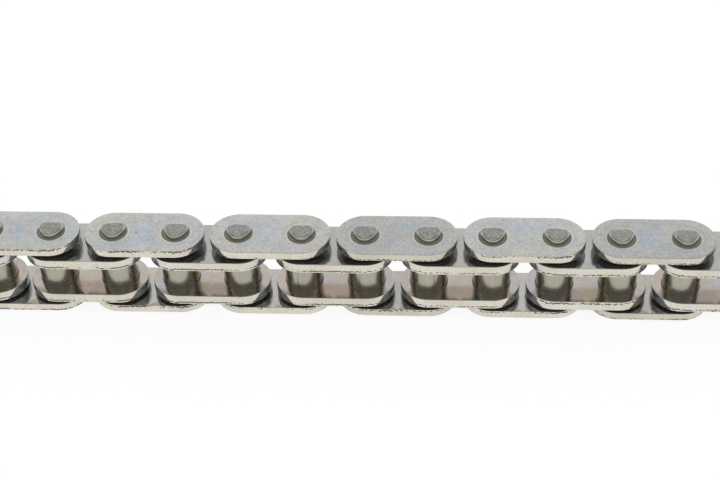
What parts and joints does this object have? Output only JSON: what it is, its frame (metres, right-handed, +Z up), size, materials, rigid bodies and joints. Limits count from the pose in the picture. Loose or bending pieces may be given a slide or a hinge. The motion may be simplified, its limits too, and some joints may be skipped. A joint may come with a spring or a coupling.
{
  "type": "timing chain",
  "caption": "Straight run of single-row bush timing chain: flat oval inner and outer link plates held by riveted pins that turn in curled bushes, so every joint can bend.",
  "frame": {"origin": "middle of the run: centre of the middle inner link's length, on the pin line, half way between the outer plates", "axes": "+X along the chain, +Y across the plates away from the viewer, +Z up along the pins, with the chain lying on its side"},
  "size_m": [0.1112, 0.0074, 0.0118],
  "materials": {
    "outer_plate_steel": "satin tumbled steel, fine mottled grain",
    "inner_plate_steel": "smooth tumbled steel, near mirror on its flat",
    "bush_steel": "polished curled steel",
    "pin_steel": "matt riveted end on ground steel"
  },
  "bodies": {
    "inner_link_1": {"inner_1_upper_plate": "inner_plate_steel", "inner_1_lower_plate": "inner_plate_steel", "inner_1_left_bush": "bush_steel", "inner_1_right_bush": "bush_steel"},
    "inner_link_2": {"inner_2_upper_plate": "inner_plate_steel", "inner_2_lower_plate": "inner_plate_steel", "inner_2_left_bush": "bush_steel", "inner_2_right_bush": "bush_steel"},
    "inner_link_3": {"inner_3_upper_plate": "inner_plate_steel", "inner_3_lower_plate": "inner_plate_steel", "inner_3_left_bush": "bush_steel", "inner_3_right_bush": "bush_steel"},
    "inner_link_4": {"inner_4_upper_plate": "inner_plate_steel", "inner_4_lower_plate": "inner_plate_steel", "inner_4_left_bush": "bush_steel", "inner_4_right_bush": "bush_steel"},
    "inner_link_5": {"inner_5_upper_plate": "inner_plate_steel", "inner_5_lower_plate": "inner_plate_steel", "inner_5_left_bush": "bush_steel", "inner_5_right_bush": "bush_steel"},
    "inner_link_6": {"inner_6_upper_plate": "inner_plate_steel", "inner_6_lower_plate": "inner_plate_steel", "inner_6_left_bush": "bush_steel", "inner_6_right_bush": "bush_steel"},
    "inner_link_7": {"inner_7_upper_plate": "inner_plate_steel", "inner_7_lower_plate": "inner_plate_steel", "inner_7_left_bush": "bush_steel", "inner_7_right_bush": "bush_steel"},
    "outer_link_1": {"outer_1_upper_plate": "outer_plate_steel", "outer_1_lower_plate": "outer_plate_steel", "outer_1_left_pin": "pin_steel", "outer_1_right_pin": "pin_steel"},
    "outer_link_2": {"outer_2_upper_plate": "outer_plate_steel", "outer_2_lower_plate": "outer_plate_steel", "outer_2_left_pin": "pin_steel", "outer_2_right_pin": "pin_steel"},
    "outer_link_3": {"outer_3_upper_plate": "outer_plate_steel", "outer_3_lower_plate": "outer_plate_steel", "outer_3_left_pin": "pin_steel", "outer_3_right_pin": "pin_steel"},
    "outer_link_4": {"outer_4_upper_plate": "outer_plate_steel", "outer_4_lower_plate": "outer_plate_steel", "outer_4_left_pin": "pin_steel", "outer_4_right_pin": "pin_steel"},
    "outer_link_5": {"outer_5_upper_plate": "outer_plate_steel", "outer_5_lower_plate": "outer_plate_steel", "outer_5_left_pin": "pin_steel", "outer_5_right_pin": "pin_steel"},
    "outer_link_6": {"outer_6_upper_plate": "outer_plate_steel", "outer_6_lower_plate": "outer_plate_steel", "outer_6_left_pin": "pin_steel", "outer_6_right_pin": "pin_steel"}
  },
  "joints": [
    {"name": "hinge_01", "type": "hinge", "parent": "outer_link_1", "child": "inner_link_1", "pos_m": [-0.044, 0, 0], "axis": [0, 0, -1], "range_deg": [-110, 110]},
    {"name": "hinge_02", "type": "hinge", "parent": "inner_link_2", "child": "outer_link_1", "pos_m": [-0.036, 0, 0], "axis": [0, 0, 1], "range_deg": [-110, 110]},
    {"name": "hinge_03", "type": "hinge", "parent": "outer_link_2", "child": "inner_link_2", "pos_m": [-0.028, 0, 0], "axis": [0, 0, -1], "range_deg": [-110, 110]},
    {"name": "hinge_04", "type": "hinge", "parent": "inner_link_3", "child": "outer_link_2", "pos_m": [-0.02, 0, 0], "axis": [0, 0, 1], "range_deg": [-110, 110]},
    {"name": "hinge_05", "type": "hinge", "parent": "outer_link_3", "child": "inner_link_3", "pos_m": [-0.012, 0, 0], "axis": [0, 0, -1], "range_deg": [-110, 110]},
    {"name": "hinge_06", "type": "hinge", "parent": "inner_link_4", "child": "outer_link_3", "pos_m": [-0.004, 0, 0], "axis": [0, 0, 1], "range_deg": [-110, 110]},
    {"name": "hinge_07", "type": "hinge", "parent": "inner_link_4", "child": "outer_link_4", "pos_m": [0.004, 0, 0], "axis": [0, 0, 1], "range_deg": [-110, 110]},
    {"name": "hinge_08", "type": "hinge", "parent": "outer_link_4", "child": "inner_link_5", "pos_m": [0.012, 0, 0], "axis": [0, 0, -1], "range_deg": [-110, 110]},
    {"name": "hinge_09", "type": "hinge", "parent": "inner_link_5", "child": "outer_link_5", "pos_m": [0.02, 0, 0], "axis": [0, 0, 1], "range_deg": [-110, 110]},
    {"name": "hinge_10", "type": "hinge", "parent": "outer_link_5", "child": "inner_link_6", "pos_m": [0.028, 0, 0], "axis": [0, 0, -1], "range_deg": [-110, 110]},
    {"name": "hinge_11", "type": "hinge", "parent": "inner_link_6", "child": "outer_link_6", "pos_m": [0.036, 0, 0], "axis": [0, 0, 1], "range_deg": [-110, 110]},
    {"name": "hinge_12", "type": "hinge", "parent": "outer_link_6", "child": "inner_link_7", "pos_m": [0.044, 0, 0], "axis": [0, 0, -1], "range_deg": [-110, 110]}
  ]
}
